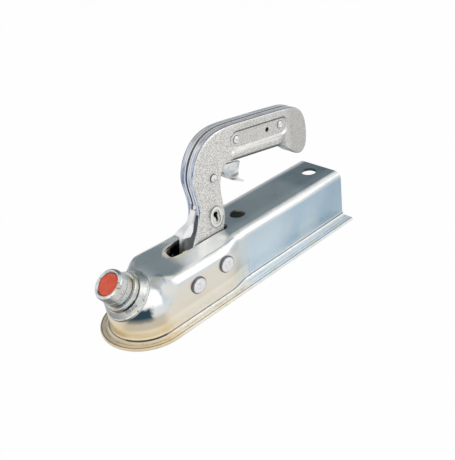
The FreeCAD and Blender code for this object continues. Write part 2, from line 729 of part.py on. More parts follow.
def nose_shape():
    # A small pressed cap over the lever's front end, open below and behind.
    wall = 1.3
    half = size("catch_half_width")
    neck = size("catch_neck_half")
    front = [(42.6, 39.2), (43.8, 41.4), (47.6, 43.6), (52.6, 46.0), (56.6, 49.6), (59.4, 55.0)]
    foot = [(42.6, 39.2), (49.6, 37.6)]
    blank = curved_solid([front, [(59.4, 55.0), (61.0, 54.2)], [(61.0, 54.2), (58.8, 49.4), (49.6, 37.6)],
                          foot], half).common(nose_taper(half, neck))
    inner = [(44.2, 38.4), (45.2, 40.4), (48.6, 42.3), (53.4, 44.8), (57.6, 48.7), (60.6, 54.4)]
    hollow = curved_solid([inner, [(60.6, 54.4), (66.0, 54.4)], [(66.0, 54.4), (66.0, 30.0)],
                           [(66.0, 30.0), (44.2, 30.0)], [(44.2, 30.0), (44.2, 38.4)]], half)
    return blank.cut(hollow.common(nose_taper(half - wall, neck - wall)))


catch_nose = add_shape("catch_nose", nose_shape().cut(catch_lever.Shape))


def finger_plate_shape():
    # A bent plate under the lever's rear end, curved to a finger.
    under = [(90.6, 73.6), (92.4, 70.3), (95.4, 67.2), (99.6, 64.3), (104.6, 61.4), (110.6, 58.2)]
    upper = [(111.4, 59.5), (105.3, 62.7), (100.4, 65.6), (96.4, 68.3), (93.7, 71.1), (91.9, 74.1)]
    half = size("catch_half_width")
    plate = xz_solid(under + upper, -half, half)
    rounds = [edge for edge in plate.Edges if edge.BoundBox.YLength > 2 * half - 0.1 and edge.BoundBox.XMin > 110.0]
    plate = plate.makeFillet(0.55, rounds)
    lever = catch_lever.Shape
    return plate.cut(lever)


finger_plate = add_shape("finger_plate", finger_plate_shape())


def torsion_coil(place_x, place_z, low, radius, wire, turns, legs):
    # A closely wound wire about Y, its turns touching, with two straight legs across it.
    half = wire / 2.0
    pitch = coil_pitch(wire)
    outside = []
    inside = []
    for k in range(turns):
        for corner in (-67.5, -22.5, 22.5, 67.5):
            turn = math.radians(corner)
            outside.append(Vector(half * math.cos(turn), low + pitch * k + half * math.sin(turn), 0))
            inside.append(Vector(-half * math.cos(turn), low + pitch * k + half * math.sin(turn), 0))
    outline = outside + list(reversed(inside))
    kept = [outline[0]]
    for point in outline[1:]:
        if point.sub(kept[-1]).Length > 1e-6:
            kept.append(point)
    shifted = [Vector(place_x + radius + point.x, point.y, place_z) for point in kept]
    face = Part.Face(Part.makePolygon(shifted + shifted[:1]))
    coil = face.revolve(Vector(place_x, 0, place_z), Vector(0, 1, 0), 360.0)
    ends = []
    for y, x0, z0, x1, z1 in legs:
        run = Vector(x1 - x0, 0, z1 - z0)
        ends.append(Part.makeCylinder(half, run.Length, Vector(x0, y, z0), run))
    return coil.fuse(ends)


def coil_pitch(wire):
    return wire * math.sin(math.radians(67.5))


catch_spring = add_shape("catch_spring", torsion_coil(
    size("catch_pivot_x"), size("catch_pivot_z"), 2.5, 3.8, 0.9, 4,
    [(2.5, 81.4, 76.4, 88.0, 77.6), (2.5 + 3 * coil_pitch(0.9), 81.4, 76.4, 77.0, 85.2)]))
jaw_spring = add_shape("jaw_spring", torsion_coil(
    size("jaw_pivot_x"), size("jaw_pivot_z"), 13.0, 7.0, 1.8, 5,
    [(13.0, 39.0, 12.8, 43.0, 18.5), (13.0 + 4 * coil_pitch(1.8), 39.0, 12.8, 36.0, 20.0)]))


# Every object is checked before anything is written.

doc.recompute()
pieces = [
    housing, neck_collar, adjuster_sleeve, adjuster_cap, red_plug, pressure_pad, disc_springs, handle_shell_near,
    handle_shell_far, handle_pivot_rivet, jaw_pivot_rivet, handle_pivot_bush, handle_spacers, jaw_spacers, cam_pin,
    cam_sleeve, catch_rivet, grip_rivets, lock_insert, closing_jaw, jaw_lining, catch_lever, catch_nose, finger_plate,
    catch_spring, jaw_spring,
]
for item in doc.Objects:
    if "Invalid" in item.State or "Error" in item.State:
        raise SystemExit("failed object: " + item.Label)
for item in pieces:
    if item.Shape.isNull() or not item.Shape.isValid() or item.Shape.Volume <= 0.0:
        raise SystemExit("bad shape: " + item.Label)
os.makedirs("parts", exist_ok=True)
for item in pieces:
    item.Shape.exportStep("parts/%s.step" % item.Label)
    print("%-22s %10.1f mm3 %d solids" % (item.Label, item.Shape.Volume, len(item.Shape.Solids)))
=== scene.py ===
import bpy
import math
from mathutils import Matrix, Vector


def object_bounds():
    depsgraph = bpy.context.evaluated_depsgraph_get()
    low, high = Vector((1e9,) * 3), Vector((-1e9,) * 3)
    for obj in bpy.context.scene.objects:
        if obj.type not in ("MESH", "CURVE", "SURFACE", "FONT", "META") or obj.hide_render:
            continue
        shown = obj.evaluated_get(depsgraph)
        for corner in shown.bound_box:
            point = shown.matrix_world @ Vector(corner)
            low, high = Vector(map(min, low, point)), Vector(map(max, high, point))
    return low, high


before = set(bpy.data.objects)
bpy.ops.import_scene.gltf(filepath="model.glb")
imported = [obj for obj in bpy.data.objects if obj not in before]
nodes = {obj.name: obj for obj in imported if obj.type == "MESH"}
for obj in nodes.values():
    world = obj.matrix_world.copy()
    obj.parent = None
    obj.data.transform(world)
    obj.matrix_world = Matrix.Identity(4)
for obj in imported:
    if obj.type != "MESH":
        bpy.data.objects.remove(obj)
cad_box = [list(corner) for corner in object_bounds()]
bpy.ops.object.select_all(action="DESELECT")


# Studio: the camera looks at the coupling's front and left side from above, a little turned.
# The floor and the sky are white, a large soft lamp stands on the right and a dark card behind.
# The floor is painted dark where the housing shades it, a painted shadow which shows through the slot and the
# front hole.

scene = bpy.context.scene
scene.view_settings.view_transform = "Standard"

camera_turn = math.radians(-40.10)
camera_rise = math.radians(30.53)
camera_roll = math.radians(-7.93)
camera_place = Vector((-0.2242, -0.3745, 0.3099))
photo_width_px = 455.0
focal_length_px = 700.0
sensor_width_mm = 36.0

backward = Vector((
    math.sin(camera_turn) * math.cos(camera_rise),
    -math.cos(camera_turn) * math.cos(camera_rise),
    math.sin(camera_rise),
))
level_right = Vector((math.cos(camera_turn), math.sin(camera_turn), 0.0))
level_up = backward.cross(level_right)
picture_right = level_right * math.cos(camera_roll) + level_up * math.sin(camera_roll)
picture_up = level_up * math.cos(camera_roll) - level_right * math.sin(camera_roll)

bpy.ops.object.camera_add(location=camera_place)
camera = bpy.context.object
camera.name = "camera"
camera.matrix_world = Matrix.Translation(camera_place) @ Matrix((
    (picture_right.x, picture_up.x, backward.x),
    (picture_right.y, picture_up.y, backward.y),
    (picture_right.z, picture_up.z, backward.z),
)).to_4x4()
camera.data.sensor_fit = "HORIZONTAL"
camera.data.sensor_width = sensor_width_mm
camera.data.lens = sensor_width_mm * focal_length_px / photo_width_px
scene.camera = camera


class Wire:
    """One output in a tree of shader nodes. Sums and products of wires add Math nodes."""

    def __init__(self, tree, socket=None):
        self.tree = tree
        self.socket = socket

    def add(self, kind, settings=None, sockets=None, out=0):
        node = self.tree.nodes.new(kind)
        for name, value in (settings or {}).items():
            setattr(node, name, value)
        for name, value in (sockets or {}).items():
            if isinstance(value, Wire):
                self.tree.links.new(value.socket, node.inputs[name])
            else:
                node.inputs[name].default_value = value
        return Wire(self.tree, node.outputs[out])

    def maths(self, operation, first, second=0.0):
        return self.add("ShaderNodeMath", {"operation": operation}, {0: first, 1: second})

    def __add__(self, other):
        return self.maths("ADD", self, other)

    def __radd__(self, other):
        return self.maths("ADD", other, self)

    def __sub__(self, other):
        return self.maths("SUBTRACT", self, other)

    def __rsub__(self, other):
        return self.maths("SUBTRACT", other, self)

    def __mul__(self, other):
        return self.maths("MULTIPLY", self, other)

    def __rmul__(self, other):
        return self.maths("MULTIPLY", other, self)

    def __abs__(self):
        return self.maths("ABSOLUTE", self)

    def power(self, exponent):
        return self.maths("POWER", self, exponent)

    def least(self, other):
        return self.maths("MINIMUM", self, other)

    def most(self, other):
        return self.maths("MAXIMUM", self, other)

    def length_with(self, other):
        # Length of the diagonal over two wires.
        return (self.power(2.0) + other.power(2.0)).power(0.5)

    def rise(self, low, high):
        # 0 up to low, 1 from high, smooth between; it falls where low is above high.
        return self.add(
            "ShaderNodeMapRange",
            {"interpolation_type": "SMOOTHSTEP", "clamp": True},
            {"Value": self, "From Min": low, "From Max": high, "To Min": 0.0, "To Max": 1.0},
        )

    def band(self, middle, half, soft):
        # 1 within half of the middle, 0 beyond half + soft.
        return abs(self - middle).rise(half + soft, half)


def blended(factor, first, second):
    # The second colour over the first, by the factor.
    first_slot, second_slot, colour_out = 6, 7, 2
    sockets = {0: factor}
    for slot, value in ((first_slot, first), (second_slot, second)):
        sockets[slot] = value if isinstance(value, Wire) else (*value, 1.0)
    return factor.add("ShaderNodeMix", {"data_type": "RGBA"}, sockets, colour_out)


class Finish:
    """A material that reads its piece's own coordinates and normal, in layers of colour.

    Places are in metres from the centre of the coupled ball, which is the frame's origin.
    """

    def __init__(self, name):
        self.material = bpy.data.materials.new(name)
        self.material.use_nodes = True
        self.tree = self.material.node_tree
        self.tree.nodes.clear()
        self.start = Wire(self.tree)
        normal_out, object_out = 1, 3
        self.place = self.start.add("ShaderNodeTexCoord", {}, {}, object_out)
        self.normal = self.start.add("ShaderNodeTexCoord", {}, {}, normal_out)
        self.x, self.y, self.z = self.parts_of(self.place)
        self.ny, self.nz = self.parts_of(self.normal)[1:]
        self.colour = None
        self.chalk = None

    def parts_of(self, vector):
        split = self.start.add("ShaderNodeSeparateXYZ", {}, {0: vector})
        return [Wire(self.tree, output) for output in split.socket.node.outputs]

    def gap_to(self, point):
        value_out = 1
        return self.start.add(
            "ShaderNodeVectorMath", {"operation": "DISTANCE"}, {0: self.place, 1: point}, value_out)

    def noise(self, scale, detail=2.0, rough=0.5, place=None):
        return self.start.add("ShaderNodeTexNoise", {}, {
            "Vector": place or self.place, "Scale": scale, "Detail": detail, "Roughness": rough,
        })

    def stretched(self, x, y, z):
        return self.start.add("ShaderNodeMapping", {}, {"Vector": self.place, "Scale": (x, y, z)})

    def lay(self, mask, colour, share=1.0, chalk=0.0):
        # A layer of colour over those so far; chalk is how far it takes the metal's shine away.
        self.colour = blended(mask * share, self.colour, colour)
        if chalk:
            self.fade(mask * chalk)

    def fade(self, mask):
        self.chalk = self.chalk.most(mask) if self.chalk else mask

    def close(self, metallic, roughness, height=None, depth=0.0001):
        sockets = {"Base Color": self.colour, "Metallic": metallic, "Roughness": roughness}
        if height is not None:
            sockets["Normal"] = self.start.add("ShaderNodeBump", {}, {"Height": height, "Distance": depth})
        shader = self.start.add("ShaderNodeBsdfPrincipled", {}, sockets)
        return self.end(shader)

    def end(self, shader):
        output = self.tree.nodes.new("ShaderNodeOutputMaterial")
        self.tree.links.new(shader.socket, output.inputs["Surface"])
        return self.material


white = (1.0, 1.0, 1.0, 1.0)
world = bpy.data.worlds.new("white_studio")
scene.world = world
world.use_nodes = True
sky = Wire(world.node_tree)
world.node_tree.nodes.clear()
sky_rays = sky.add("ShaderNodeLightPath").socket.node.outputs
seen = Wire(sky.tree, sky_rays["Is Camera Ray"])
mirrored = Wire(sky.tree, sky_rays["Is Glossy Ray"]).most(Wire(sky.tree, sky_rays["Is Transmission Ray"]))
sky_light = 0.62
sky_level = sky_light + (1.0 - sky_light) * seen.most(mirrored)
sky_shade = sky.add("ShaderNodeBackground", {}, {"Color": white, "Strength": sky_level})
sky_end = sky.tree.nodes.new("ShaderNodeOutputWorld")
sky.tree.links.new(sky_shade.socket, sky_end.inputs["Surface"])

aim = Vector((0.08, 0.0, 0.03))


def toward(direction, distance):
    # Place and turn of a lamp or card that faces the aim from a direction.
    away = Vector(direction).normalized()
    return aim + away * distance, away.to_track_quat("Z", "Y").to_euler()


for lamp_name, direction, distance, width, power in (
    ("main_lamp", (0.30, -0.62, 0.72), 1.25, 0.85, 3.2),
    ("side_lamp", (-0.9, 0.1, 0.55), 1.4, 0.6, 1.2),
):
    lamp_place, lamp_turn = toward(direction, distance)
    bpy.ops.object.light_add(type="AREA", location=lamp_place, rotation=lamp_turn)
    lamp = bpy.context.object
    lamp.name = lamp_name
    lamp.data.shape = "SQUARE"
    lamp.data.size = width
    lamp.data.energy = power

card_place, card_turn = toward((0.42, 0.66, 0.62), 1.1)
bpy.ops.mesh.primitive_plane_add(size=1.5, location=card_place, rotation=card_turn)
card = bpy.context.object
card.name = "dark_card"
card.visible_camera = False
card.visible_diffuse = False
card.visible_shadow = False
card_finish = Finish("dark_card")
card_shade = (0.21, 0.25, 0.275, 1.0)
card_glow = card_finish.start.add("ShaderNodeEmission", {}, {"Color": card_shade, "Strength": 1.0})
card.data.materials.append(card_finish.end(card_glow))

floor_gap = 0.0002
bpy.ops.mesh.primitive_plane_add(size=8.0, location=(0.0, 0.0, cad_box[0][2] - floor_gap))
floor = bpy.context.object
floor.name = "floor"
floor_finish = Finish("pale_floor")
floor_rays = floor_finish.start.add("ShaderNodeLightPath").socket.node.outputs
floor_white = Wire(floor_finish.tree, floor_rays["Is Camera Ray"])
for ray in ("Is Glossy Ray", "Is Transmission Ray"):
    floor_white = floor_white.most(Wire(floor_finish.tree, floor_rays[ray]))
floor_reach = floor_finish.x.least(0.0).length_with(floor_finish.y)
# painted shadow: under the housing the floor is coloured nearly black and does not glow
under = floor_reach.rise(0.033, 0.024) * floor_finish.x.rise(0.165, 0.135)
floor_shade = blended(under, (0.92, 0.92, 0.92), (0.03, 0.03, 0.03))
floor_matt = floor_finish.start.add("ShaderNodeBsdfDiffuse", {}, {"Color": floor_shade})
floor_glow = floor_finish.start.add("ShaderNodeEmission", {}, {"Color": white, "Strength": 1.0})
floor_glow_share = 0.97 * floor_white * (1.0 - under)
floor_mix = floor_finish.start.add(
    "ShaderNodeMixShader", {}, {0: floor_glow_share, 1: floor_matt, 2: floor_glow})
floor.data.materials.append(floor_finish.end(floor_mix))


# Housing: one pressing in steel sheet with bright zinc plate, blue-grey behind and straw in front.
# The flats on top are painted darkest as a painted dark reflection, the bends lightest as a painted
# highlight, and the rim has drawn lines.
# The inside is duller, and painted dark as painted shade, darkest towards the front.

rim_level = -0.0080
rim_start = 0.0285
foot_level = -0.0101
step_place = 0.086
slot_front = 0.0395
front_bolt_hole = (0.1038, 0.0, 0.0290)


class HousingZinc(Finish):
    """Bright zinc plate, laid on from the walls and the top to the rim, the marks and the inside."""

    def __init__(self):
        super().__init__("housing_zinc")
        self.reach = self.x.least(0.0).length_with(self.y)
        self.turn = self.y.maths("ARCTAN2", self.y, self.x)
        self.clouds = self.noise(26.0, 3.0)
        self.patches = self.noise(70.0, 2.0)
        self.straw_side = (self.x + 0.03 * (self.clouds - 0.5)).rise(0.100, 0.062)
        self.flat = self.nz.rise(0.86, 0.955)
        rim = self.reach.rise(rim_start, rim_start + 0.0013) * self.z.rise(rim_level, rim_level - 0.0008)
        rear_rim = abs(self.y).rise(0.0262, 0.0275) * self.x.rise(0.098, 0.106)
        self.rim = rim.most(rear_rim * self.z.rise(rim_level - 0.0006, rim_level - 0.0014))

    def cover_walls(self):
        warm_wall = blended(self.clouds.rise(0.35, 0.65), (0.70, 0.63, 0.49), (0.74, 0.70, 0.62))
        cool_wall = blended(self.clouds.rise(0.35, 0.65), (0.40, 0.52, 0.62), (0.52, 0.62, 0.68))
        self.colour = blended(self.straw_side, cool_wall, warm_wall)
        streaks = self.noise(18.0, 3.0, 0.6, self.stretched(9.0, 9.0, 0.7)).rise(0.42, 0.60)
        press_marks = self.x.band(step_place, 0.006, 0.010) * self.z.rise(0.008, -0.008) * streaks
        self.lay(press_marks, (0.20, 0.36, 0.58), 0.8)
        # painted highlight: the bends are coloured pale, with a white line along their middle
        bend = self.nz.rise(0.08, 0.34) * self.nz.rise(0.93, 0.80)
        pale = blended(self.clouds.rise(0.4, 0.7), (0.74, 0.76, 0.75), (0.64, 0.68, 0.70))
        self.lay(bend, blended(self.nz.band(0.62, 0.10, 0.12), pale, (0.95, 0.95, 0.93)))

    def cover_top(self):
        x, y = self.x, self.y
        # painted reflection: the flats on top are coloured dark slate, painted lighter by the collar, before
        # the slot, along the near edge and at the rear, with long marks
        by_collar = x.rise(0.014, -0.002) * abs(y + 0.002).rise(0.0150, 0.0040)
        before_slot = x.rise(0.056, 0.048)
        near_edge = y.rise(-0.006, -0.016) * x.rise(0.070, 0.085)
        rear = x.rise(0.120, 0.150) * x.rise(0.178, 0.160)
        long_marks = self.noise(40.0, 4.0, 0.65, self.stretched(0.22, 1.0, 1.0)).rise(0.56, 0.66)
        slate = blended(self.clouds.rise(0.35, 0.7), (0.34, 0.42, 0.455), (0.47, 0.53, 0.55))
        slate = blended(by_collar * 0.80, slate, (0.74, 0.78, 0.80))
        slate = blended(before_slot * 0.60, slate, (0.86, 0.90, 0.89))
        slate = blended(near_edge * 0.45, slate, (0.72, 0.78, 0.80))
        slate = blended(rear * 0.20, slate, (0.70, 0.75, 0.77))
        slate = blended(long_marks * 0.35, slate, (0.66, 0.71, 0.72))
        # painted highlight: the slope on the near side of the slot is coloured pale and dull
        strip = blended(self.patches.rise(0.3, 0.7), (0.86, 0.89, 0.88), (0.98, 0.99, 0.97))
        beside_slot = self.ny.rise(-0.05, -0.15) * self.nz.rise(0.80, 0.90) * x.rise(0.020, 0.036)
        self.lay(self.flat * (1.0 - beside_slot), slate)
        self.lay(beside_slot, strip, chalk=0.9)
        self.fade(self.flat * x.rise(0.070, 0.085) * x.rise(0.175, 0.160) * 0.45)
        self.fade(self.flat * by_collar * 0.7)

    def cover_rim(self):
        stains = self.noise(260.0, 4.0, 0.65).rise(0.50, 0.66)
        straw = blended(self.x.rise(-0.004, 0.012), (0.74, 0.65, 0.50), (0.89, 0.86, 0.78))
        straw = blended(stains * 0.5, straw, (0.48, 0.43, 0.34))
        pale = blended(self.straw_side, (0.82, 0.88, 0.91), straw)
        self.lay(self.rim, blended(self.patches.rise(0.45, 0.75) * 0.5, pale, (0.80, 0.76, 0.55)), chalk=1.0)

    def colour_front(self):
        # gold towards the front foot, the painted dark reflection below the collar, and painted shade low on
        # the dome's near side
        gold_place = self.x.rise(0.030, -0.004) * self.z.rise(0.008, -0.005)
        gold = blended(self.clouds.rise(0.3, 0.7), (0.80, 0.60, 0.30), (0.86, 0.74, 0.50))
        self.lay(gold_place * (0.70 - 0.45 * self.rim), gold)
        self.lay(self.z.band(-0.0076, 0.0012, 0.0014) * self.turn.band(-2.25, 0.35, 0.35),
                 (0.98, 0.85, 0.58), 0.8, chalk=0.8)
        ragged = self.noise(300.0, 3.0, 0.7) - 0.5
        below_collar = (self.turn + 0.25 * ragged).band(-2.31, 0.27, 0.18)
        self.lay(below_collar * (self.z + 0.004 * ragged).band(0.0098, 0.0030, 0.0036), (0.025, 0.060, 0.080))
        # painted shade: low on the dome's near side the colour is greyed
        self.lay(self.turn.band(-2.20, 0.45, 0.30) * self.z.band(0.0030, 0.0030, 0.0030),
                 (0.40, 0.36, 0.29), 0.5)

    def colour_dome_bend(self):
        # the bend between the dome and the wall has grey strokes that run down with it
        strokes = self.noise(55.0, 4.0, 0.6, self.stretched(1.6, 0.5, 0.5)).rise(0.50, 0.60)
        bend = self.nz.band(0.62, 0.12, 0.14) * self.x.band(0.004, 0.008, 0.006) * self.ny.rise(0.0, -0.3)
        self.lay(bend * strokes, (0.42, 0.50, 0.55), 0.7)
        # painted shade: two dark spots on the dome's near bend, broken by the strokes
        upper_shade = self.gap_to((0.0045, -0.0158, 0.0262)).rise(0.0082, 0.0034)
        self.lay(upper_shade * strokes.most(0.60), (0.11, 0.15, 0.18), 0.90)
        lower_shade = self.gap_to((-0.0007, -0.0192, 0.0217)).rise(0.0066, 0.0022)
        self.lay(lower_shade * strokes.most(0.50), (0.15, 0.21, 0.25), 0.85)
        # painted highlight: a pale, dull spot on the near side below the bend
        pale_spot = self.gap_to((0.0080, -0.0246, 0.0208)).rise(0.0080, 0.0010)
        self.lay(pale_spot, (0.80, 0.79, 0.75), chalk=0.8)

    def colour_far_side(self):
        # painted highlights along the far edge of the top and the far bend, painted shade on the dome's far
        # bend and on the near bend by the step, and the wall's darker rear end
        far_edge = self.y.rise(0.0140, 0.0190) * self.nz.rise(0.4, 0.7) * self.x.rise(0.076, 0.082)
        self.lay(far_edge, (0.88, 0.91, 0.92), 0.8, chalk=1.4)
        far_line = self.ny.rise(0.08, 0.20) * self.nz.rise(0.35, 0.60) * self.x.rise(0.070, 0.085)
        self.lay(far_line, (0.86, 0.89, 0.90), 0.9, chalk=1.5)
        far_shade = self.ny.rise(0.22, 0.40) * self.nz.rise(0.3, 0.5) * self.x.rise(0.032, 0.022)
        self.lay(far_shade, (0.17, 0.21, 0.235), 0.9)
        step_shade = self.gap_to((0.0735, -0.0250, 0.0255)).rise(0.0090, 0.0040)
        self.lay(step_shade, (0.46, 0.50, 0.53), 0.6)
        rear_end = self.x.rise(0.150, 0.200) * self.ny.rise(-0.6, -0.9) * (1.0 - self.rim)
        self.lay(rear_end, (0.25, 0.35, 0.43), 0.45)

    def colour_openings(self):
        # the edges of the slot and of the front bolt hole, and the slot's walls, are painted pale and a
        # little straw coloured as a painted highlight
        x, y, z = self.x, self.y, self.z
        round_front = ((x - slot_front).least(0.0) * 0.9).length_with(y).band(0.0096, 0.0012, 0.0012)
        slot_edge = round_front * self.nz.rise(0.6, 0.8) * x.band(0.034, 0.007, 0.004)
        slot_wall = self.nz.rise(0.35, 0.15) * z.rise(0.024, 0.026)
        slot_wall = slot_wall * abs(y).rise(0.0098, 0.0094) * x.rise(0.095, 0.090)
        hole_edge = self.gap_to(front_bolt_hole).rise(0.0086, 0.0078)
        hole_edge = hole_edge * self.nz.rise(0.5, 0.3) * z.rise(0.0284, 0.0290)
        self.lay(slot_edge.most(slot_wall).most(hole_edge), (0.76, 0.71, 0.56), 0.85, chalk=1.6)
        # a fine dark stroke of painted shade where the strip beside the slot meets the bend
        crease = y.band(-0.0222, 0.00012, 0.0003) * x.band(0.062, 0.014, 0.006) * self.nz.rise(0.4, 0.6)
        self.lay(crease * self.patches.rise(0.35, 0.45), (0.16, 0.20, 0.22), 0.8)

    def colour_foot(self):
        # the low wall painted paler as painted light, the dark line of painted shade where it turns out into
        # the rim, a painted highlight along the rim beside it, the rim's outer edge in painted shade, and the
        # rim's drawn lines
        x, z, reach = self.x, self.z, self.reach
        # painted light: the low wall at the front is coloured paler and dull
        low_wall = z.band(-0.0050, 0.0040, 0.0035) * x.rise(0.100, 0.075)
        low_wall = low_wall * x.rise(-0.004, 0.010) * self.nz.rise(0.30, 0.10)
        self.lay(low_wall, (0.92, 0.88, 0.78), 0.75, chalk=0.8)
        cool_patch = x.band(0.104, 0.010, 0.020) * z.rise(0.022, 0.002)
        cool_patch = cool_patch * self.ny.rise(-0.5, -0.8) * (1.0 - self.rim)
        self.lay(cool_patch, (0.68, 0.80, 0.90), 0.45, chalk=0.5)
        # painted shade: a dark line in the crease at the wall's foot
        foot_line = z.band(foot_level, 0.00022, 0.0004) * 0.85
        foot_line = foot_line.most(z.band(foot_level, 0.00042, 0.0003) * self.turn.band(-2.25, 0.50, 0.30))
        worn_line = reach.band(0.0322, 0.00008, 0.0003) * self.rim * self.patches.rise(0.40, 0.48)
        foot_line = foot_line.most(worn_line * 0.6)
        # painted highlight: a white line along the rim where it leaves the wall
        cove_highlight = reach.band(0.0308, 0.0006, 0.0006) * self.rim * x.rise(0.055, 0.085)
        self.lay(cove_highlight, (0.93, 0.94, 0.95), 0.7)
        # painted shade on the rim's outer edge
        edge_shade = blended(self.straw_side, (0.20, 0.25, 0.30), (0.17, 0.15, 0.11))
        self.lay(reach.rise(0.0366, 0.0380) * self.rim, edge_shade, 0.85)
        # painted shade: a dark line along the rim's outer edge; the broken line on the rim is a drawn line
        edge_line = reach.band(0.0352, 0.00012, 0.0003) * z.rise(-0.0135, -0.0120)
        self.lay(foot_line.most(edge_line), (0.03, 0.035, 0.035), 0.95)
        self.chalk = self.chalk * (1.0 - foot_line)

    def colour_inside(self):
        # painted shade: the inside is coloured dark grey, darkest towards the front
        inner_face = self.nz.rise(-0.2, -0.5).most((self.y * self.ny).rise(-0.002, -0.006))
        inside = inner_face * self.z.rise(-0.0122, -0.0112)
        dull = blended(self.clouds.rise(0.35, 0.65), (0.15, 0.155, 0.16), (0.21, 0.215, 0.22))
        self.lay(inside, blended(self.x.rise(0.175, 0.125) * 0.7, dull, (0.045, 0.055, 0.045)))
        return inside

    def finished(self):
        self.cover_walls()
        self.cover_top()
        self.cover_rim()
        self.colour_front()
        self.colour_dome_bend()
        self.colour_far_side()
        self.colour_openings()
        self.colour_foot()
        scuffs = self.noise(420.0, 4.0, 0.7, self.stretched(0.25, 1.0, 1.0)).rise(0.66, 0.72)
        self.lay(scuffs, (0.30, 0.31, 0.32), 0.35)
        inside = self.colour_inside()
        grain = self.noise(900.0, 3.0, 0.6)
        roughness = 0.20 + 0.12 * self.clouds + 0.06 * grain + 0.10 * scuffs + 0.14 * self.rim + 0.25 * inside
        height = 0.75 * self.noise(45.0, 2.0) + 0.15 * self.patches + 0.10 * grain
        return self.close(0.93 - 0.5 * self.chalk, roughness, height, 0.0006)


def dressed(node, material):
    piece = nodes[node]
    piece.data.materials.clear()
    piece.data.materials.append(material)


dressed("housing", HousingZinc().finished())


# Neck: a collar welded over the opening and a turned adjuster screwed into it, all zinc plated.
# Turning marks run round them, scratches cross them, a spot of the collar is painted dark as a painted
# reflection, their lower sides are painted darker as painted shade and their near sides paler as painted
# light.

neck_rise = math.radians(53.6)
neck_axis = (-math.cos(neck_rise), 0.0, math.sin(neck_rise))
dark_reflection_place = (-0.0208, -0.0138, 0.0182)
dark_reflection_level = 0.0265


def turned_zinc(name, light, dark, ring_share):
    make = Finish(name)
    value_out = 1
    along = make.start.add(
        "ShaderNodeVectorMath", {"operation": "DOT_PRODUCT"}, {0: make.place, 1: neck_axis}, value_out)
    rings = make.start.add(
        "ShaderNodeTexNoise", {"noise_dimensions": "1D"}, {"W": along, "Scale": 2600.0, "Detail": 2.0})
    clouds = make.noise(120.0, 3.0)
    fine = make.noise(1400.0, 2.0)
    make.colour = blended(clouds.rise(0.50, 0.66) * 0.55 + ring_share * rings.rise(0.5, 0.75), light, dark)
    make.lay(make.noise(60.0, 2.0).rise(0.48, 0.62), (0.86, 0.74, 0.54), 0.45)
    # painted reflection: a dark spot on the collar, with light flecks
    dark_reflection = make.gap_to(dark_reflection_place).rise(0.0066, 0.0046) * along.band(dark_reflection_level, 0.0016, 0.0006)
    flecks = make.noise(900.0, 3.0, 0.7).rise(0.52, 0.58)
    make.lay(dark_reflection * (1.0 - 0.75 * flecks), (0.045, 0.065, 0.070))
    # painted shade: the lower sides are coloured darker
    make.lay(make.nz.rise(0.40, 0.0) * make.ny.rise(-0.92, -0.70), (0.13, 0.14, 0.15), 0.85)
    # painted light: the near sides are coloured paler and dull
    near_side = make.ny.rise(-0.45, -0.75) * make.nz.rise(-0.25, 0.15)
    make.lay(near_side, (0.80, 0.80, 0.77), 0.4)
    scratches = make.noise(420.0, 4.0, 0.75, make.stretched(1.0, 0.45, 1.0)).rise(0.56, 0.63)
    make.lay(scratches, (0.08, 0.10, 0.11), 0.7)
    roughness = 0.16 + 0.16 * clouds + 0.08 * fine
    height = 0.6 * rings + 0.2 * clouds + 0.2 * fine
    return make.close(0.95 - 0.55 * near_side * (1.0 - dark_reflection), roughness, height, 0.0002)


collar_finish = turned_zinc("collar_zinc", (0.66, 0.68, 0.66), (0.27, 0.31, 0.32), 0.35)
dressed("neck_collar", collar_finish)
adjuster_finish = turned_zinc("adjuster_zinc", (0.66, 0.68, 0.68), (0.20, 0.24, 0.26), 0.55)
for node in ("adjuster_sleeve", "adjuster_cap", "disc_springs", "pressure_pad"):
    dressed(node, adjuster_finish)


# Plug: a moulded red plastic plug, pushed into the adjuster's cap.
# Its red is slightly clouded, and a fine grain makes it half matt.

def plug_plastic():
    make = Finish("red_plug_plastic")
    clouds = make.noise(220.0, 3.0)
    fine = make.noise(2200.0, 2.0)
    make.colour = blended(clouds.rise(0.35, 0.70), (0.74, 0.080, 0.035), (0.82, 0.120, 0.060))
    return make.close(0.0, 0.46 + 0.12 * fine, 0.5 * clouds + 0.5 * fine, 0.0001)


dressed("red_plug", plug_plastic())


# Handle: two stamped shells in matt zinc with a speckled grain on their faces.
# The turned-in rims are smoother and painted pale blue as a painted reflection of the room, with painted
# highlight lines along their edges.
# At the front of the foot the rims are painted pale as a painted highlight, and the inside is painted light
# and dull as painted light.

seam_line = 0.0017
face_line = 0.0076
lock_x = 0.07475
lock_z = 0.0444
lock_flattening = 0.72


def rim_zinc(make, depth, lines, foot_rim_highlight):
    # The colour of the shells' turned-in rims, painted blue in front and lighter on top as a painted
    # reflection, with painted highlights and painted shade.
    nz = make.nz
    runs = make.noise(120.0, 4.0, 0.65, make.stretched(0.5, 6.0, 0.5))
    front_rim = blended(runs.rise(0.38, 0.60), (0.10, 0.15, 0.32), (0.66, 0.72, 0.80))
    top_rim = blended(runs.rise(0.38, 0.60), (0.52, 0.54, 0.59), (0.92, 0.93, 0.95))
    rim = blended(nz.rise(0.35, 0.85), front_rim, top_rim)
    # painted reflection: a dark band on the rims' tops near the faces
    rim = blended(depth.rise(0.0052, 0.0068) * nz.rise(0.2, 0.5) * 0.85, rim, (0.16, 0.18, 0.24))
    # painted highlight: white lines along the seam and the faces' edges
    rim = blended(lines * 0.95, rim, (0.97, 0.98, 1.0))
    # painted shade: the seam between the shells is coloured nearly black
    rim = blended(depth.rise(0.0014, 0.0009) * 0.9, rim, (0.08, 0.08, 0.10))
    # painted reflection: a broken dark band across the rims
    rim = blended(depth.band(0.0026, 0.0002, 0.0003) * runs.rise(0.5, 0.6) * 0.6, rim, (0.16, 0.17, 0.24))
    # painted shade: the rims' undersides are coloured darker
    rim = blended(nz.rise(-0.20, -0.50) * 0.85, rim, (0.16, 0.19, 0.20))
    return blended(foot_rim_highlight * 0.8, rim, (0.90, 0.92, 0.93))


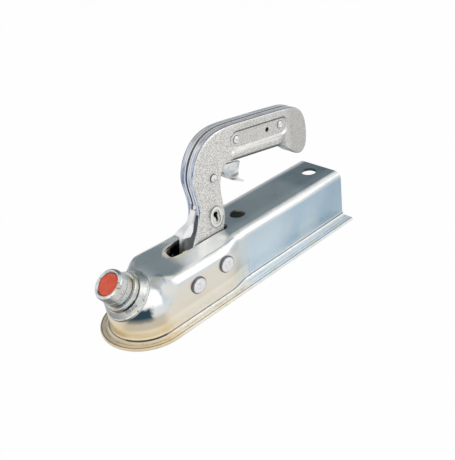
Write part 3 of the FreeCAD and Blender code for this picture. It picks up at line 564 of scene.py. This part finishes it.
def shell_zinc():
    make = Finish("handle_zinc")
    x, y, z = make.x, make.y, make.z
    ny, nz = make.ny, make.nz
    depth = abs(y)
    speckle = make.noise(1150.0, 2.0, 0.6)
    mottle = make.noise(240.0, 3.0, 0.6)
    face = blended(speckle.rise(0.38, 0.60), (0.46, 0.455, 0.44), (0.86, 0.845, 0.81))
    face = blended(mottle.rise(0.5, 0.75) * 0.35, face, (0.74, 0.73, 0.70))
    side = abs(ny).rise(0.80, 0.35)
    on_face = 1.0 - side
    # places of the painted highlight lines on the rims
    lines = depth.band(seam_line, 0.00025, 0.0003).most(depth.band(face_line, 0.0003, 0.0005))
    # painted highlight: the rims at the front of the foot are coloured pale
    foot_rim_highlight = z.rise(0.054, 0.046) * depth.rise(0.0030, 0.0050) * x.rise(0.066, 0.060)
    make.colour = blended(side, face, rim_zinc(make, depth, lines, foot_rim_highlight))
    # painted light: the shells' inner faces are coloured pale and dull
    inner = (y * ny).rise(-0.001, -0.004)
    make.lay(inner, (0.88, 0.90, 0.92))
    make.lay(x.rise(0.090, 0.120) * on_face, (0.42, 0.42, 0.41), 0.30)
    make.lay(x.rise(0.162, 0.168) * on_face, (0.36, 0.36, 0.35), 0.35)

    # the boss round the lock insert has a painted highlight ring on its edge and a dark line of painted shade
    # round it
    boss = (x - lock_x).length_with((z - lock_z) * lock_flattening)
    boss_side = y.rise(-0.0085, -0.0090)
    make.lay(boss.band(0.0055, 0.0007, 0.0005) * boss_side, (0.90, 0.88, 0.80), 0.8)
    make.lay(boss.band(0.0067, 0.0002, 0.0004) * boss_side, (0.10, 0.10, 0.09), 0.9)

    # the panel's sloping border is painted bright below as a painted highlight and dark above as painted
    # shade, and the hook is painted in shade
    grip = x.rise(0.097, 0.101) * x.rise(0.164, 0.158) * z.rise(0.070, 0.074)
    slope = abs(ny).rise(0.985, 0.90) * on_face * grip
    make.lay(slope * nz.rise(-0.05, 0.25), (0.88, 0.88, 0.85), 0.35)
    make.lay(slope * nz.rise(0.05, -0.20), (0.13, 0.135, 0.135), 0.90)
    hook = x.rise(0.148, 0.153) * x.rise(0.161, 0.157) * z.rise(0.083, 0.079)
    make.lay(hook * on_face, (0.30, 0.34, 0.34), 0.5)
    make.lay(make.noise(700.0, 3.0, 0.7).rise(0.64, 0.70) * on_face, (0.18, 0.18, 0.18), 0.60)

    arc = side * nz.rise(0.30, 0.60)
    chalk = inner.most(arc * 0.45).most(foot_rim_highlight * side * 0.5).most(lines * side * 0.8)
    roughness = 0.46 - 0.24 * side - 0.14 * slope + 0.10 * mottle
    height = 0.55 * speckle + 0.30 * mottle + 0.15 * make.noise(30.0, 2.0)
    return make.close(0.88 - 0.88 * chalk, roughness, height, 0.00012)


handle_finish = shell_zinc()
for node in ("handle_shell_near", "handle_shell_far"):
    dressed(node, handle_finish)


# Rivets, pins and bushes: plain steel under the same plate, lavender grey with hammer marks.
# Each head has a painted highlight ring and a dark edge of painted shade, on the clinched rivets of the grip
# too.
# Their axes run across the coupling, so each place is given as its x and z.

handle_pivot = (0.0615, 0.0155)
jaw_pivot = (0.0320, 0.0128)
catch_pivot = (0.0776, 0.0764)
grip_rivet_places = ((0.1066, 0.0966), (0.1554, 0.0910))
pivot_head_radius = 0.0069
clinch_head_radius = 0.0034


def rivet_zinc(name, light, dark, axes, radius):
    make = Finish(name)
    clouds = make.noise(420.0, 3.0, 0.6)
    marks = make.noise(760.0, 4.0, 0.65)
    gaps = [(make.x - axis_x).length_with(make.z - axis_z) for axis_x, axis_z in axes]
    reach = gaps[0]
    for gap in gaps[1:]:
        reach = reach.least(gap)
    make.colour = blended(clouds.rise(0.36, 0.64), dark, light)
    make.lay(marks.rise(0.60, 0.68), (0.34, 0.34, 0.37), 0.35)
    # painted highlight ring on each head, and painted shade round its edge
    make.lay(reach.band(radius * 0.60, radius * 0.05, radius * 0.07), (0.90, 0.90, 0.93), 0.35)
    make.lay(reach.rise(radius * 0.82, radius * 0.93), (0.08, 0.085, 0.095), 0.90)
    return make.close(0.88, 0.34 + 0.18 * clouds, 0.6 * clouds + 0.4 * marks, 0.00012)


pivot_finish = rivet_zinc(
    "pivot_rivet_zinc", (0.84, 0.84, 0.86), (0.68, 0.68, 0.71), (handle_pivot, jaw_pivot), pivot_head_radius)
clinch_finish = rivet_zinc(
    "clinch_rivet_zinc", (0.86, 0.86, 0.84), (0.56, 0.57, 0.57),
    (catch_pivot, *grip_rivet_places), clinch_head_radius)
for node in ("handle_pivot_rivet", "jaw_pivot_rivet", "handle_pivot_bush", "handle_spacers", "jaw_spacers",
             "cam_pin", "cam_sleeve"):
    dressed(node, pivot_finish)
for node in ("grip_rivets", "catch_rivet"):
    dressed(node, clinch_finish)


# Lock insert: a plain zinc die casting in the boss of the near shell, its keyhole painted black inside as
# painted shade.
# A thin bright bar leans in the keyhole and ends a little above its middle.

keyhole_depth = -0.0079
bar_x = 0.0755
bar_z = 0.0414
bar_lean = 0.15


def insert_zinc():
    make = Finish("insert_zinc")
    clouds = make.noise(400.0, 3.0)
    make.colour = blended(clouds.rise(0.38, 0.64), (0.84, 0.83, 0.78), (0.60, 0.60, 0.57))
    # painted shade: the keyhole's inside is coloured black
    deep = make.y.rise(keyhole_depth, keyhole_depth + 0.0009)
    make.lay(deep, (0.012, 0.012, 0.012))
    bar = (make.x - bar_x + bar_lean * (make.z - bar_z)).band(0.0004, 0.0003, 0.0002)
    make.lay(bar * make.z.rise(0.0462, 0.0454) * deep, (0.80, 0.79, 0.72), 0.9)
    return make.close(0.85 - 0.6 * deep, 0.34 + 0.4 * deep, clouds, 0.0001)


dressed("lock_insert", insert_zinc())


# Catch: the pressed nose is coloured nearly white and half matt.
# The lever and the finger plate are plain zinc sheet, painted dark at the fold and on the underside as
# painted shade, and pale below the fold as a painted highlight.

fold_level = 0.0655


def catch_zinc(name, light, dark, polish, metal):
    make = Finish(name)
    clouds = make.noise(110.0, 3.0)
    fine = make.noise(1300.0, 2.0)
    on_plate = make.x.rise(0.088, 0.091)
    make.colour = blended(clouds.rise(0.38, 0.66), light, dark)
    # painted highlight: the plate below the fold is coloured pale
    make.lay(make.z.rise(0.0640, 0.0625) * on_plate, (0.90, 0.87, 0.80), 0.6)
    make.lay(make.x.rise(0.097, 0.091) * on_plate, (0.34, 0.34, 0.32), 0.7)
    # painted shade at the fold and on the underside
    fold = make.z.band(fold_level, 0.0006, 0.0012) * 0.7
    underside = make.nz.rise(-0.30, -0.70) * 0.6
    make.lay(fold.most(underside) * on_plate, (0.16, 0.17, 0.17))
    return make.close(metal, polish + 0.12 * clouds, 0.7 * clouds + 0.3 * fine, 0.00008)


nose_finish = catch_zinc("nose_zinc", (0.99, 0.98, 0.99), (0.90, 0.90, 0.93), 0.42, 0.35)
dressed("catch_nose", nose_finish)
lever_finish = catch_zinc("lever_zinc", (0.80, 0.81, 0.80), (0.50, 0.53, 0.55), 0.26, 0.9)
for node in ("catch_lever", "finger_plate"):
    dressed(node, lever_finish)


# Jaw: a phosphated iron claw with a friction lining of brown-black moulded composite.
# Both sit inside the housing, and both are coloured dark.

def jaw_iron():
    make = Finish("jaw_iron")
    clouds = make.noise(140.0, 3.0)
    fine = make.noise(1000.0, 3.0)
    make.colour = blended(clouds.rise(0.35, 0.65), (0.09, 0.09, 0.095), (0.17, 0.17, 0.17))
    return make.close(0.7, 0.42 + 0.2 * clouds, 0.5 * clouds + 0.5 * fine, 0.0003)


def lining_composite():
    make = Finish("lining_composite")
    chips = make.noise(1500.0, 2.0).rise(0.55, 0.62)
    clouds = make.noise(200.0, 2.0)
    make.colour = blended(chips, (0.055, 0.040, 0.032), (0.22, 0.17, 0.12))
    return make.close(0.0, 0.7 + 0.15 * clouds, 0.7 * chips + 0.3 * clouds, 0.0001)


dressed("closing_jaw", jaw_iron())
dressed("jaw_lining", lining_composite())


# Springs: zinc plated wire, wound close. One opens the jaw and one holds the catch out.
# Only the jaw's spring is on the head; the catch's spring moves with the handle.

def spring_wire():
    make = Finish("spring_wire")
    clouds = make.noise(260.0, 2.0)
    fine = make.noise(1500.0, 2.0)
    make.colour = blended(clouds.rise(0.4, 0.65), (0.66, 0.68, 0.70), (0.42, 0.44, 0.46))
    return make.close(0.92, 0.28 + 0.1 * fine, fine, 0.0001)


wire_finish = spring_wire()
for node in ("catch_spring", "jaw_spring"):
    dressed(node, wire_finish)
